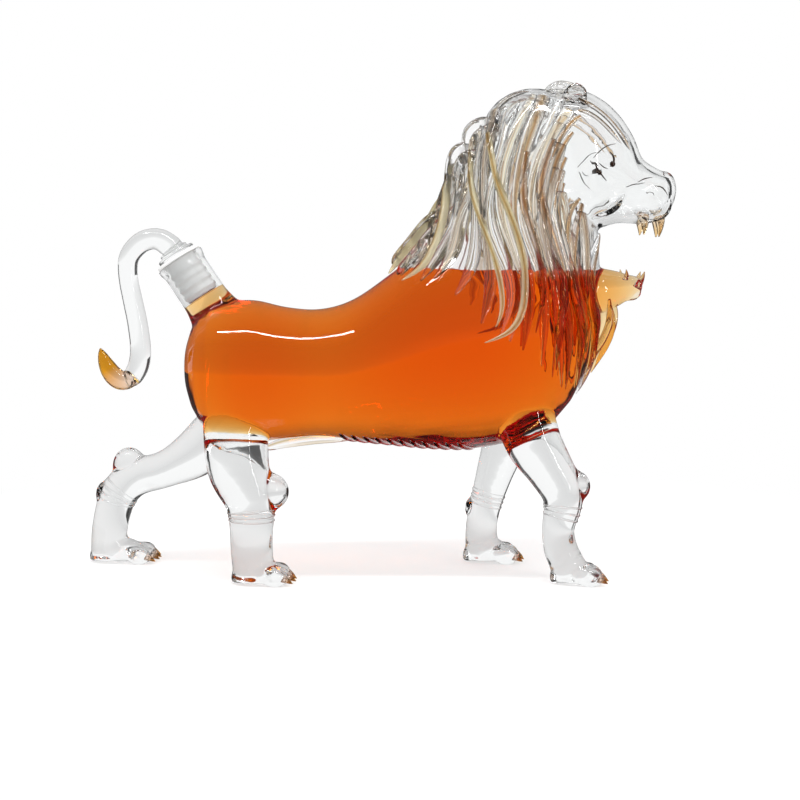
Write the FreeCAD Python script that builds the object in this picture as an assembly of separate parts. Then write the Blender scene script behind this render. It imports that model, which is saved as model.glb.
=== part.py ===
import FreeCAD
import Part
import math
import os

os.makedirs("parts", exist_ok=True)
Vector = FreeCAD.Vector
ACROSS = Vector(0, 1, 0)
UP = Vector(0, 0, 1)
FORWARD = Vector(1, 0, 0)

# A lion of clear blown glass that holds liquor. It walks towards +X on four
# paws at z = 0, its right side is at -Y, and its tail is the stopper. All in mm.

# Hollow vessel: trunk, neck, skull and lower jaw, each lofted through ovals.
WALL = 2.2
LIQUOR_GAP = 0.25
LIQUOR_LEVEL = 129.0
OVAL_POINTS = 12
LOFT_DEGREE = 3
TIP_SCALES = (0.87, 0.6, 0.3, 0.05)

# x, top, bottom, half width
TRUNK = (
    (-62.0, 116.0, 57.5, 29.4),
    (-50.0, 116.5, 56.5, 32.0),
    (-36.0, 113.5, 58.0, 31.0),
    (-22.0, 112.8, 59.0, 29.8),
    (-8.0, 117.0, 57.3, 30.8),
    (8.0, 128.0, 55.7, 33.2),
    (26.0, 142.0, 54.0, 35.2),
    (46.0, 150.0, 54.0, 35.6),
    (66.0, 146.0, 58.0, 33.0),
)
TRUNK_REAR = Vector(-79.7, 0, 88.0)
TRUNK_FRONT = Vector(94.7, 0, 113.0)
SKULL = (
    (62.0, 200.5, 144.0, 24.0),
    (74.0, 204.0, 141.5, 26.0),
    (86.0, 204.3, 140.5, 26.0),
    (95.0, 202.0, 141.0, 24.5),
    (103.0, 196.0, 145.0, 22.0),
    (109.0, 184.0, 146.5, 18.5),
    (114.0, 174.5, 147.3, 15.5),
    (119.0, 171.0, 149.0, 13.5),
)
SKULL_REAR = Vector(44.0, 0, 172.0)
SKULL_FRONT = Vector(127.2, 0, 160.5)
JAW = (
    (82.0, 131.0, 108.0, 16.0),
    (95.0, 130.0, 110.5, 14.5),
    (103.0, 128.0, 113.8, 12.0),
    (108.0, 127.0, 116.5, 9.5),
)
JAW_FRONT = Vector(114.0, 0, 123.5)
# rear (x, z), front (x, z), half width
NECK = (
    ((14.0, 128.0), (90.0, 100.0), 33.0),
    ((21.0, 140.0), (93.0, 118.0), 33.5),
    ((27.0, 151.0), (92.5, 136.0), 30.5),
    ((33.0, 165.0), (90.0, 152.0), 28.5),
    ((38.0, 177.0), (88.0, 168.0), 26.5),
    ((46.0, 189.0), (88.0, 184.0), 22.0),
)
NECK_TOP = Vector(70.0, 0, 204.5)
# The head is welded on along this line, under the mane.
WELD_REAR = Vector(16.0, 0, 134.0)
WELD_FRONT = Vector(96.0, 0, 108.0)

# Bottle neck on the rump, tilted back, and the stopper that fills it.
SPOUT_BASE = Vector(-69.4, 0, 114.9)
SPOUT_TILT = 33.0
SPOUT_LENGTH = 22.0
SPOUT_RADIUS = 9.5
SPOUT_FLARE = 2.2
SPOUT_SUNK = 14.0
LIP_RADIUS = 10.4
LIP_HEIGHT = 3.2
BORE_RADIUS = 7.75
PLUG_CLEARANCE = 0.05
RIB_DEPTH = 0.75
RIB_HALF = 1.3
RIB_PITCH = 3.5
RIB_COUNT = 4
PLUG_DEPTH = 18.0
FLANGE_RADIUS = 9.8
FLANGE_THICK = 1.6
STEM_RADIUS = 3.45
STEM_CLEARANCE = 0.05
STEM_SHORT = 1.5
COLLAR_STEPS = ((8.2, 1.8), (6.2, 1.7), (5.25, 1.5))

# Tail: a rod that arches back over the neck and hangs, with an amber tuft.
ROD_ROOT_RADIUS = 4.8
ROD_END_RADIUS = 4.1
ROD_SECTIONS = 16
ROD_RISE = 3.0
ROD_WAY = ((-94.0, 142.6), (-102.4, 134.0), (-102.4, 121.0), (-99.4, 105.0), (-98.8, 93.0))
ROD_END = Vector(-102.0, 0, 84.6)
TUFT_WAY = ((-107.0, 83.6), (-111.8, 88.0))
TUFT_TIP = Vector(-115.8, 0, 96.0)
TUFT_HALVES = ((4.1, 4.1), (5.4, 5.0), (4.2, 4.4))

# Mane: guides give root, middle and tip in side view, from nape to throat.
MANE_GUIDES = (
    ((37.0, 167.0), (30.0, 150.0), (13.5, 128.0)),
    ((45.0, 183.0), (37.5, 156.0), (27.0, 123.5)),
    ((55.0, 193.0), (46.0, 157.0), (38.0, 122.0)),
    ((66.0, 199.5), (54.0, 155.0), (45.5, 101.0)),
    ((76.5, 198.0), (60.0, 148.0), (57.0, 100.0)),
    ((77.0, 183.0), (63.0, 141.0), (67.0, 91.0)),
    ((72.5, 167.0), (67.0, 130.0), (76.0, 83.5)),
    ((72.5, 153.5), (72.5, 120.5), (82.0, 88.5)),
    ((84.0, 141.0), (84.5, 117.0), (88.0, 99.0)),
)
MANE_GROUPS = ("mane_rear", "mane_middle", "mane_front", "cheek_ruff")
LOCKS_PER_GROUP = 5
LOCK_STOPS = (0.0, 0.22, 0.48, 0.74, 1.0)
LOCK_SWELL = (0.82, 1.0, 1.0, 0.8)
LOCK_THICK = 2.4
LOCK_FILL = 0.44
LOCK_TIP_LIFT = 1.2
CREST_COUNT = 5
CREST_TOP = 198.0
CREST_TIP = 131.0
CREST_SPACING = (3.4, 5.6)
CREST_THICK = 4.2
BEARD_SPACING = 5.0
BEARD_TOP = 106.5
BEARD_TIP = 80.5
BEARD_COUNT = 4
FORELOCK_REAR = 76.0
FORELOCK_BROW = 106.5
FORELOCK_SPACING = 6.0
FORELOCK_COUNT = 3
FORELOCK_THICK = 4.4

# Face
EAR_AT = (86.5, 18.6)
EAR_BASE_DROP = 3.0
EAR_HEIGHT = 14.0
EAR_HALF_WIDTH = 5.6
EAR_HALF_DEPTH = 3.0
EAR_SPLAY = 14.0
EYE_AT = (96.0, 172.0)
EYE_RADIUS = 3.0
EYE_SUNK = 1.0
# root, tip and root radius of each fang on the left
UPPER_FANGS = (
    (Vector(119.0, 7.5, 154.0), Vector(118.0, 7.2, 142.6), 1.9),
    (Vector(112.5, 10.0, 153.0), Vector(112.0, 9.6, 144.2), 1.6),
)
LOWER_FANGS = ((Vector(109.5, 4.6, 121.0), Vector(110.6, 4.6, 131.6), 1.8),)
FANG_TIP = 0.3

# Legs: stops (x, y, z), half depth, half width, from the trunk to the shank weld.
# Left legs are written at +y and right ones at -y.
RIGHT_FORE_LEG = (
    ((62.0, -15.0, 70.0), 12.5, 10.5),
    ((66.5, -16.5, 58.5), 11.8, 10.8),
    ((73.0, -18.0, 48.0), 10.0, 10.0),
    ((78.0, -19.5, 39.0), 8.7, 9.0),
    ((78.6, -20.5, 32.0), 8.0, 8.2),
    ((76.8, -21.0, 23.0), 6.8, 7.0),
)
LEFT_FORE_LEG = (
    ((59.0, 15.0, 68.0), 10.8, 10.5),
    ((57.0, 17.0, 53.0), 9.6, 10.2),
    ((53.6, 19.0, 41.0), 8.2, 9.2),
    ((51.0, 20.5, 31.5), 7.4, 8.0),
    ((48.6, 21.0, 22.0), 7.0, 7.2),
)
RIGHT_HIND_LEG = (
    ((-57.0, -14.0, 70.0), 13.5, 11.0),
    ((-56.6, -16.0, 57.5), 13.4, 11.8),
    ((-55.3, -18.0, 47.0), 12.8, 11.4),
    ((-51.2, -20.0, 37.0), 11.2, 10.4),
    ((-50.0, -20.8, 30.0), 9.8, 9.4),
    ((-50.0, -21.0, 22.5), 9.0, 8.8),
)
LEFT_HIND_LEG = (
    ((-62.0, 14.0, 64.0), 13.0, 11.0),
    ((-77.0, 16.5, 50.0), 11.0, 10.6),
    ((-92.0, 18.5, 41.8), 8.2, 9.0),
    ((-105.5, 20.0, 37.8), 8.3, 8.6),
    ((-112.6, 20.8, 31.6), 8.4, 8.4),
    ((-115.8, 21.0, 24.0), 8.0, 8.2),
)
# centre and radius of the knob at elbow or hock
RIGHT_FORE_KNOB = (Vector(85.6, -19.5, 40.6), 4.4)
RIGHT_HIND_KNOB = (Vector(-40.0, -20.0, 37.6), 5.4)
LEFT_HIND_KNOB = (Vector(-109.6, 20.0, 45.2), 5.4)
# heel x, toe x, shank half depth at the ankle
RIGHT_FORE_PAW = (73.4, 96.2, 7.2)
LEFT_FORE_PAW = (39.2, 65.1, 7.2)
RIGHT_HIND_PAW = (-58.8, -33.0, 8.6)
LEFT_HIND_PAW = (-127.2, -97.0, 7.9)
PAW_TOP = 11.0
PAW_HALF_WIDTH = 9.2
ANKLE_RISE = 9.0
HEEL_STEP = 1.0
TOE_COUNT = 4
TOE_HALF = (5.2, 2.5, 3.9)
TOE_DROP = 2.6
WELD_BEAD = 0.55
WELD_BEAD_HALF = 0.9
CLAW_RADIUS = 1.4
CLAW_LENGTH = 3.4
CLAW_SUNK = 1.2

# Underside
FRINGE_REAR = -2.0
FRINGE_FRONT = 43.0
FRINGE_COUNT = 6
FRINGE_SLANT = 8.0
FRINGE_NEAR = 1.4
FRINGE_FAR = 10.5
FRINGE_HALVES = ((1.7, 1.2), (2.4, 1.5), (2.0, 1.3))
BELLY_TUFT_STOPS = (-13.0, -22.0, -31.0, -39.0)
BELLY_TUFT_TIP = -46.5
BELLY_TUFT_HANG = (0.0, 0.2, 0.8, 1.6)
BELLY_TUFT_DROP = 3.2
BELLY_TUFT_HALVES = ((1.6, 1.4), (4.4, 2.2), (5.0, 2.6), (3.6, 2.2))


def oval(centre, along_a, along_b, half_a, half_b):
    points = []
    for step in range(OVAL_POINTS):
        turn = 2 * math.pi * step / OVAL_POINTS
        spot = centre + along_a * (half_a * math.cos(turn))
        points.append(spot + along_b * (half_b * math.sin(turn)))
    curve = Part.BSplineCurve()
    curve.interpolate(Points=points, PeriodicFlag=True)
    half_way = curve.parameter(points[OVAL_POINTS // 2])
    upper = curve.toShape(curve.FirstParameter, half_way)
    lower = curve.toShape(half_way, curve.LastParameter)
    return Part.Wire([upper, lower])


def lofted(wires):
    return Part.makeLoft(wires, True, False, False, LOFT_DEGREE)


def rounded_tip(centre, tip, along_a, along_b, half_a, half_b):
    # Ovals that shrink on an elliptic curve from a full section almost to a point.
    rings = []
    for scale in TIP_SCALES:
        reach = math.sqrt(1 - scale * scale)
        spot = centre + (tip - centre) * reach
        rings.append(oval(spot, along_a, along_b, half_a * scale, half_b * scale))
    return rings


def barrel(stations, inset, rear_tip=None, front_tip=None):
    rings = []
    for x, top, bottom, half_width in stations:
        centre = Vector(x, 0, (top + bottom) / 2)
        rings.append((centre, half_width - inset, (top - bottom) / 2 - inset))
    wires = [oval(centre, ACROSS, UP, half_a, half_b) for centre, half_a, half_b in rings]
    if rear_tip:
        centre, half_a, half_b = rings[0]
        tip = rear_tip + FORWARD * inset
        wires = rounded_tip(centre, tip, ACROSS, UP, half_a, half_b)[::-1] + wires
    if front_tip:
        centre, half_a, half_b = rings[-1]
        tip = front_tip - FORWARD * inset
        wires = wires + rounded_tip(centre, tip, ACROSS, UP, half_a, half_b)
    return lofted(wires)


def neck_form(inset):
    wires = []
    for rear, front, half_width in NECK:
        start = Vector(rear[0], 0, rear[1])
        span = Vector(front[0], 0, front[1]) - start
        along = Vector(span).normalize()
        centre = start + span * 0.5
        half_a = half_width - inset
        half_b = span.Length / 2 - inset
        wires.append(oval(centre, ACROSS, along, half_a, half_b))
    wires = wires + rounded_tip(centre, NECK_TOP - UP * inset, ACROSS, along, half_a, half_b)
    return lofted(wires)


def vessel_forms(inset):
    trunk = barrel(TRUNK, inset, TRUNK_REAR, TRUNK_FRONT)
    skull = barrel(SKULL, inset, SKULL_REAR, SKULL_FRONT)
    jaw = barrel(JAW, inset, front_tip=JAW_FRONT)
    return [trunk, neck_form(inset), skull, jaw]


def joined(shapes):
    return shapes[0].fuse(shapes[1:]) if len(shapes) > 1 else shapes[0]


def above_weld():
    span = WELD_FRONT - WELD_REAR
    reach = 400.0
    box = Part.makeBox(reach, reach, reach, Vector(-reach / 2, -reach / 2, 0))
    tilt = math.degrees(math.atan2(-span.z, span.x))
    box.Placement = FreeCAD.Placement(WELD_REAR, FreeCAD.Rotation(ACROSS, tilt))
    return box


def below(level):
    reach = 600.0
    return Part.makeBox(reach, reach, reach, Vector(-reach / 2, -reach / 2, level - reach))


def on_spout(shape):
    shape.Placement = FreeCAD.Placement(SPOUT_BASE, FreeCAD.Rotation(ACROSS, -SPOUT_TILT))
    return shape


def turned(edges):
    face = Part.Face(Part.Wire(Part.__sortEdges__(edges)))
    return on_spout(face.revolve(Vector(0, 0, 0), UP, 360))


def chain(points):
    corners = [Vector(radius, 0, height) for radius, height in points]
    return [Part.makeLine(a, b) for a, b in zip(corners, corners[1:])]


def bulge(start, middle, end):
    ends = [Vector(radius, 0, height) for radius, height in (start, middle, end)]
    return Part.Arc(*ends).toShape()


def spout_tube():
    lip_low = SPOUT_LENGTH - LIP_HEIGHT
    foot = (SPOUT_RADIUS + SPOUT_FLARE * 2, -SPOUT_SUNK)
    waist = (SPOUT_RADIUS, SPOUT_SUNK / 3)
    lip_start = (SPOUT_RADIUS, lip_low)
    lip_out = (LIP_RADIUS, SPOUT_LENGTH - LIP_HEIGHT / 2)
    lip_end = (SPOUT_RADIUS, SPOUT_LENGTH)
    edges = [bulge(foot, (SPOUT_RADIUS + SPOUT_FLARE / 2, -SPOUT_SUNK / 3), waist)]
    edges.append(bulge(lip_start, lip_out, lip_end))
    edges = edges + chain([waist, lip_start])
    edges = edges + chain([lip_end, (BORE_RADIUS, SPOUT_LENGTH), (BORE_RADIUS, -SPOUT_SUNK), foot])
    return turned(edges)


def spout_bore():
    return on_spout(Part.makeCylinder(BORE_RADIUS, 2 * SPOUT_SUNK, Vector(0, 0, -SPOUT_SUNK * 1.2)))


def stopper_plug():
    rib = BORE_RADIUS - PLUG_CLEARANCE
    core = rib - RIB_DEPTH
    bottom = SPOUT_LENGTH - PLUG_DEPTH
    edges = []
    last = (core, bottom)
    for count in range(RIB_COUNT):
        height = bottom + RIB_HALF + 1.0 + count * RIB_PITCH
        edges = edges + chain([last, (core, height - RIB_HALF)])
        last = (core, height + RIB_HALF)
        edges.append(bulge((core, height - RIB_HALF), (rib, height), last))
    bore = STEM_RADIUS + STEM_CLEARANCE
    top = SPOUT_LENGTH + FLANGE_THICK
    outline = [last, (core, SPOUT_LENGTH), (FLANGE_RADIUS, SPOUT_LENGTH), (FLANGE_RADIUS, top)]
    edges = edges + chain(outline + [(bore, top), (bore, bottom), (core, bottom)])
    return turned(edges)


def stem_top():
    return SPOUT_LENGTH + FLANGE_THICK + sum(height for radius, height in COLLAR_STEPS)


def stopper_stem():
    low = SPOUT_LENGTH - PLUG_DEPTH + STEM_SHORT
    height = SPOUT_LENGTH + FLANGE_THICK
    points = [(0, low), (STEM_RADIUS, low), (STEM_RADIUS, height)]
    for radius, step in COLLAR_STEPS:
        points = points + [(radius, height), (radius, height + step)]
        height = height + step
    return turned(chain(points + [(0, height), (0, low)]))


def tail_way():
    lift = FreeCAD.Rotation(ACROSS, -SPOUT_TILT).multVec(UP)
    start = SPOUT_BASE + lift * stem_top()
    stops = [start, start + lift * ROD_RISE] + [Vector(x, 0, z) for x, z in ROD_WAY]
    way = Part.BSplineCurve()
    way.interpolate(Points=stops + [ROD_END] + [Vector(x, 0, z) for x, z in TUFT_WAY] + [TUFT_TIP])
    return way


def tail_ring(way, place, half_depth, half_width):
    outward = way.tangent(place)[0].cross(ACROSS).normalize()
    return oval(way.value(place), ACROSS, outward, half_width, half_depth)


def tail_rod():
    way = tail_way()
    reach = way.parameter(ROD_END) - way.FirstParameter
    wires = []
    for step in range(ROD_SECTIONS + 1):
        share = step / ROD_SECTIONS
        radius = ROD_ROOT_RADIUS + (ROD_END_RADIUS - ROD_ROOT_RADIUS) * share
        wires.append(tail_ring(way, way.FirstParameter + reach * share, radius, radius))
    return lofted(wires)


def tail_tuft():
    way = tail_way()
    stops = [ROD_END] + [Vector(x, 0, z) for x, z in TUFT_WAY]
    wires = [tail_ring(way, way.parameter(stop), *halves) for stop, halves in zip(stops, TUFT_HALVES)]
    return lofted(wires + [Part.Vertex(TUFT_TIP)])


def limb(stops, halves, start_along):
    # halves holds half depth and half width at each stop
    way = Part.BSplineCurve()
    way.interpolate(Points=stops, InitialTangent=start_along, FinalTangent=stops[-1] - stops[-2])
    wires = []
    for stop, (half_depth, half_width) in zip(stops, halves):
        along = way.tangent(way.parameter(stop))[0]
        depth = along.cross(ACROSS).normalize()
        wires.append(oval(stop, depth.cross(along), depth, half_width, half_depth))
    return lofted(wires)


def first_touch(forms, origin, direction):
    # Nearest point of the glass from outside, with the outward normal there.
    line = Part.Line(origin, origin + direction)
    best = None
    for form in forms:
        for face in form.Faces:
            if not isinstance(face.Surface, Part.BSplineSurface):
                continue
            for hit in line.intersectCS(face.Surface)[0]:
                point = Vector(hit.X, hit.Y, hit.Z)
                reach = (point - origin).dot(direction)
                if best is None or reach < best[0]:
                    best = (reach, point, face.Surface)
    reach, point, surface = best
    normal = surface.normal(*surface.parameter(point))
    if normal.dot(direction) > 0:
        normal = normal * -1
    return point, normal


def lock(seats, halves, tip):
    # A tapered strand lying on its seats, each a point and an outward normal.
    way = Part.BSplineCurve()
    way.interpolate(Points=[point for point, normal in seats] + [tip])
    wires = []
    for (point, normal), (half_width, half_thick) in zip(seats, halves):
        along = way.tangent(way.parameter(point))[0]
        side = along.cross(normal).normalize()
        wires.append(oval(point, side.cross(along), side * -1, half_thick, half_width))
    wires.append(Part.Vertex(tip))
    return lofted(wires)


def strand_line(seats):
    line = Part.BSplineCurve()
    line.interpolate(Points=[point for point, normal in seats])
    return line.toShape()


def guide_curve(column):
    points = [Vector(guide[column][0], 0, guide[column][1]) for guide in MANE_GUIDES]
    places = [number / (len(points) - 1) for number in range(len(points))]
    curve = Part.BSplineCurve()
    curve.interpolate(Points=points, Parameters=places)
    return curve


def mane_ways(forms):
    # Seats of every right-hand lock, from nape to throat.
    root, middle, tip = [guide_curve(column) for column in range(3)]
    total = LOCKS_PER_GROUP * len(MANE_GROUPS)
    ways = []
    for number in range(total):
        share = (number + 0.5) / total
        strand = Part.BSplineCurve()
        stops = [root.value(share), middle.value(share), tip.value(share)]
        strand.interpolate(Points=stops, Parameters=[0.0, 0.5, 1.0])
        seats = []
        for stop in LOCK_STOPS:
            spot = strand.value(stop)
            seats.append(first_touch(forms, Vector(spot.x, -200, spot.z), ACROSS))
        ways.append(seats)
    return ways


def mane_groups(forms):
    ways = mane_ways(forms)
    locks = []
    for number, seats in enumerate(ways):
        beside = ways[max(0, number - 1)], ways[min(len(ways) - 1, number + 1)]
        halves = []
        for place, swell in enumerate(LOCK_SWELL):
            spot = Part.Vertex(seats[place][0])
            gaps = [strand_line(other).distToShape(spot)[0] for other in beside if other is not seats]
            halves.append((min(gaps) * LOCK_FILL * swell, LOCK_THICK))
        tip = seats[-1][0] + seats[-1][1] * LOCK_TIP_LIFT
        locks.append(lock(seats[:-1], halves, tip))
    return [locks[start:start + LOCKS_PER_GROUP] for start in range(0, len(locks), LOCKS_PER_GROUP)]


def crest(forms, glass):
    locks = []
    for number in range(CREST_COUNT):
        rank = number - (CREST_COUNT - 1) / 2
        seats = []
        halves = []
        for stop, swell in zip(LOCK_STOPS, LOCK_SWELL + (0.0,)):
            spacing = CREST_SPACING[0] + (CREST_SPACING[1] - CREST_SPACING[0]) * stop
            height = CREST_TOP + (CREST_TIP + abs(rank) * 3 - CREST_TOP) * stop
            seats.append(first_touch(forms, Vector(-200, rank * spacing, height), FORWARD))
            halves.append((spacing * LOCK_FILL * swell, CREST_THICK * swell))
        tip = seats[-1][0] + seats[-1][1] * LOCK_TIP_LIFT
        locks.append(lock(seats[:-1], halves[:-1], tip).cut(glass))
    return locks


def beard(forms, glass):
    locks = []
    for number in range(BEARD_COUNT):
        side = (number - (BEARD_COUNT - 1) / 2) * BEARD_SPACING
        seats = []
        for stop in LOCK_STOPS:
            height = BEARD_TOP + (BEARD_TIP + abs(side) * 0.5 - BEARD_TOP) * stop
            seats.append(first_touch(forms, Vector(200, side * (1 - 0.35 * stop), height), FORWARD * -1))
        halves = [(BEARD_SPACING * LOCK_FILL * swell * (1 - 0.35 * stop), LOCK_THICK)
                  for swell, stop in zip(LOCK_SWELL, LOCK_STOPS)]
        tip = seats[-1][0] + seats[-1][1] * LOCK_TIP_LIFT
        locks.append(lock(seats[:-1], halves, tip).cut(glass))
    return locks


def forelock(forms, glass):
    locks = []
    for number in range(FORELOCK_COUNT):
        side = (number - (FORELOCK_COUNT - 1) / 2) * FORELOCK_SPACING
        seats = []
        for stop in LOCK_STOPS:
            x = FORELOCK_REAR + (FORELOCK_BROW - abs(side) - FORELOCK_REAR) * stop
            seats.append(first_touch(forms, Vector(x, side, 300), UP * -1))
        halves = [(FORELOCK_SPACING * LOCK_FILL * swell, FORELOCK_THICK * swell) for swell in LOCK_SWELL]
        locks.append(lock(seats[:-1], halves, seats[-1][0] + seats[-1][1]).cut(glass))
    return locks


def mirrored(shape):
    return shape.mirror(Vector(0, 0, 0), ACROSS)


def right_ear(forms):
    x, side = EAR_AT
    foot = first_touch(forms, Vector(x, -side, 300), UP * -1)[0] - UP * EAR_BASE_DROP
    lean = FreeCAD.Rotation(FORWARD, EAR_SPLAY)
    rise = lean.multVec(UP)
    wide = lean.multVec(ACROSS)
    wires = []
    for share, swell in ((0.0, 0.75), (0.35, 1.0), (0.7, 0.86)):
        centre = foot + rise * (EAR_HEIGHT * share)
        halves = (EAR_HALF_WIDTH * swell, EAR_HALF_DEPTH * swell)
        wires.append(oval(centre, wide, FORWARD, *halves))
    wires = wires + rounded_tip(centre, foot + rise * EAR_HEIGHT, wide, FORWARD, *halves)
    lobe = lofted(wires)
    scoop = Part.makeSphere(EAR_HALF_WIDTH * 0.66)
    stretch = FreeCAD.Matrix()
    stretch.scale(0.7, 1.0, 1.5)
    scoop = scoop.transformGeometry(stretch)
    middle = foot + rise * (EAR_HEIGHT * 0.58) + FORWARD * EAR_HALF_DEPTH
    scoop.Placement = FreeCAD.Placement(middle, lean)
    return lobe.cut(scoop)


def right_eye(forms):
    point, normal = first_touch(forms, Vector(EYE_AT[0], -200, EYE_AT[1]), ACROSS)
    return Part.makeSphere(EYE_RADIUS, point - normal * EYE_SUNK)


def fangs(table, glass):
    pieces = []
    for root, tip, radius in table:
        way = tip - root
        fang = Part.makeCone(radius, FANG_TIP, way.Length, root, way)
        pieces = pieces + [fang.cut(glass), mirrored(fang).cut(glass)]
    return pieces


def leg(stations, knob):
    stops = [Vector(*stop) for stop, depth, width in stations]
    halves = [(depth, width) for stop, depth, width in stations]
    shape = limb(stops, halves, Vector(stops[1] - stops[0]))
    if knob:
        shape = shape.fuse(Part.makeSphere(knob[1], knob[0]))
    return shape


def leg_weld(stations):
    # Place, direction and halves of the oval where the paw is welded on.
    first = Vector(*stations[-2][0])
    last = Vector(*stations[-1][0])
    return last, (last - first), (stations[-1][1], stations[-1][2])


def ball(centre, halves):
    stretch = FreeCAD.Matrix()
    stretch.scale(*halves)
    shape = Part.makeSphere(1.0).transformGeometry(stretch)
    shape.translate(centre)
    return shape


def toe_spots(paw, side):
    heel, toe, ankle_half = paw
    pitch = 2 * (PAW_HALF_WIDTH - TOE_HALF[1] * 0.8) / (TOE_COUNT - 1)
    spots = []
    for number in range(TOE_COUNT):
        offset = (number - (TOE_COUNT - 1) / 2) * pitch
        back = abs(offset) * 0.22
        spots.append(Vector(toe - TOE_HALF[0] - back, side + offset, TOE_DROP))
    return spots


def paw(stations, table):
    heel, toe, ankle_half = table
    place, along, (half_depth, half_width) = leg_weld(stations)
    side = place.y
    ankle = Vector(heel + HEEL_STEP + ankle_half, side, ANKLE_RISE)
    middle = (place + ankle) * 0.5 + FORWARD * ((place.x - ankle.x) * 0.1)
    stops = [place, middle, ankle, ankle - UP * ANKLE_RISE * 0.8]
    halves = [(half_depth, half_width), (half_depth * 0.94, half_width * 0.95)]
    halves = halves + [(ankle_half, half_width), (ankle_half, half_width)]
    shank = limb(stops, halves, along)
    bead_depth = along.cross(ACROSS).normalize()
    bead_width = bead_depth.cross(along).normalize()
    wires = []
    for share, swell in ((0.0, 0.0), (1.0, WELD_BEAD), (2.0, 0.0)):
        spot = place + Vector(along).normalize() * (WELD_BEAD_HALF * share)
        wires.append(oval(spot, bead_width, bead_depth, half_width + swell, half_depth + swell))
    bead = lofted(wires)
    length = toe - heel
    foot = []
    for share, top, swell in ((0.30, 1.0, 0.86), (0.58, 0.92, 1.0), (0.78, 0.66, 1.0)):
        centre = Vector(heel + length * share, side, 0)
        foot.append(oval(centre, ACROSS, UP, PAW_HALF_WIDTH * swell, PAW_TOP * top))
    rear = Vector(heel + length * 0.30, side, 0)
    front = Vector(heel + length * 0.78, side, 0)
    tip = Vector(heel + length * 0.97, side, 0)
    heel_rings = rounded_tip(rear, Vector(heel, side, 0), ACROSS, UP, PAW_HALF_WIDTH * 0.86, PAW_TOP)
    toe_rings = rounded_tip(front, tip, ACROSS, UP, PAW_HALF_WIDTH, PAW_TOP * 0.66)
    sole = lofted(heel_rings[::-1] + foot + toe_rings)
    toes = [ball(spot, TOE_HALF) for spot in toe_spots(table, side)]
    return joined([shank, bead, sole] + toes).cut(below(0.0))


def claws(table, side, foot):
    pieces = []
    for spot in toe_spots(table, side):
        root = spot + Vector(TOE_HALF[0] - CLAW_SUNK, 0, 0)
        way = Vector(CLAW_LENGTH, 0, -CLAW_LENGTH * 0.3)
        pieces.append(Part.makeCone(CLAW_RADIUS, FANG_TIP, CLAW_LENGTH, root, way).cut(foot))
    return pieces


def belly_fringe(forms, glass):
    pieces = []
    pitch = (FRINGE_FRONT - FRINGE_REAR) / (FRINGE_COUNT - 1)
    for number in range(FRINGE_COUNT):
        start = FRINGE_REAR + pitch * number
        seats = []
        for stop in (0.0, 0.35, 0.7, 1.0):
            side = FRINGE_NEAR + (FRINGE_FAR - FRINGE_NEAR) * stop
            seats.append(first_touch(forms, Vector(start - FRINGE_SLANT * stop, -side, -100), UP))
        strand = lock(seats[:-1], FRINGE_HALVES, seats[-1][0] + seats[-1][1] * 0.5)
        pieces = pieces + [strand.cut(glass), mirrored(strand).cut(glass)]
    return pieces


def belly_tuft(forms, glass):
    seats = []
    for x, hang in zip(BELLY_TUFT_STOPS, BELLY_TUFT_HANG):
        point, normal = first_touch(forms, Vector(x, 0, -100), UP)
        seats.append((point + normal * hang, normal))
    tip = first_touch(forms, Vector(BELLY_TUFT_TIP, 0, -100), UP)[0] - UP * BELLY_TUFT_DROP
    return lock(seats, BELLY_TUFT_HALVES, tip).cut(glass)


def save(name, shape):
    if isinstance(shape, list):
        solids = []
        for piece in shape:
            solids = solids + piece.Solids
        shape = Part.makeCompound(solids)
    shape.exportStep("parts/" + name + ".step")
    print(name, len(shape.Solids), shape.isValid(), round(shape.Volume), "mm3", flush=True)


outside = vessel_forms(0.0)
glass = joined(outside)
hollow = joined(vessel_forms(WALL))
vessel = glass.cut(hollow).cut(spout_bore())
save("torso_shell", vessel.cut(above_weld()))
save("head_shell", vessel.common(above_weld()))
liquor = joined(vessel_forms(WALL + LIQUOR_GAP)).common(below(LIQUOR_LEVEL))
save("liquor", liquor)
print("capacity to the liquor level", round(hollow.common(below(LIQUOR_LEVEL)).Volume / 1000), "ml")

save("bottle_neck", spout_tube().cut(glass))
save("stopper_plug", stopper_plug())
save("stopper_stem", stopper_stem())
save("tail_rod", tail_rod().cut(stopper_stem()))
save("tail_tuft", tail_tuft())

for name, group in zip(MANE_GROUPS, mane_groups(outside)):
    save("right_" + name, [piece.cut(glass) for piece in group])
    save("left_" + name, [mirrored(piece).cut(glass) for piece in group])
save("mane_crest", crest(outside, glass))
save("beard", beard(outside, glass))
save("forelock", forelock(outside, glass))
ear = right_ear(outside)
save("right_ear", ear.cut(glass))
save("left_ear", mirrored(ear).cut(glass))
eye = right_eye(outside)
save("right_eye", eye.cut(glass))
save("left_eye", mirrored(eye).cut(glass))
save("upper_fangs", fangs(UPPER_FANGS, glass))
save("lower_fangs", fangs(LOWER_FANGS, glass))

LEGS = (
    ("right_fore", RIGHT_FORE_LEG, RIGHT_FORE_KNOB, RIGHT_FORE_PAW),
    ("left_fore", LEFT_FORE_LEG, None, LEFT_FORE_PAW),
    ("right_hind", RIGHT_HIND_LEG, RIGHT_HIND_KNOB, RIGHT_HIND_PAW),
    ("left_hind", LEFT_HIND_LEG, LEFT_HIND_KNOB, LEFT_HIND_PAW),
)
for name, stations, knob, table in LEGS:
    foot = paw(stations, table)
    save(name + "_leg", leg(stations, knob).cut(glass))
    save(name + "_paw", foot)
    save(name + "_claws", claws(table, stations[-1][0][1], foot))

save("belly_fringe", belly_fringe(outside, glass))
save("belly_tuft", belly_tuft(outside, glass))
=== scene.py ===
import math

import bmesh
import bpy
from mathutils import Matrix, Vector
from mathutils.bvhtree import BVHTree


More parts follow.
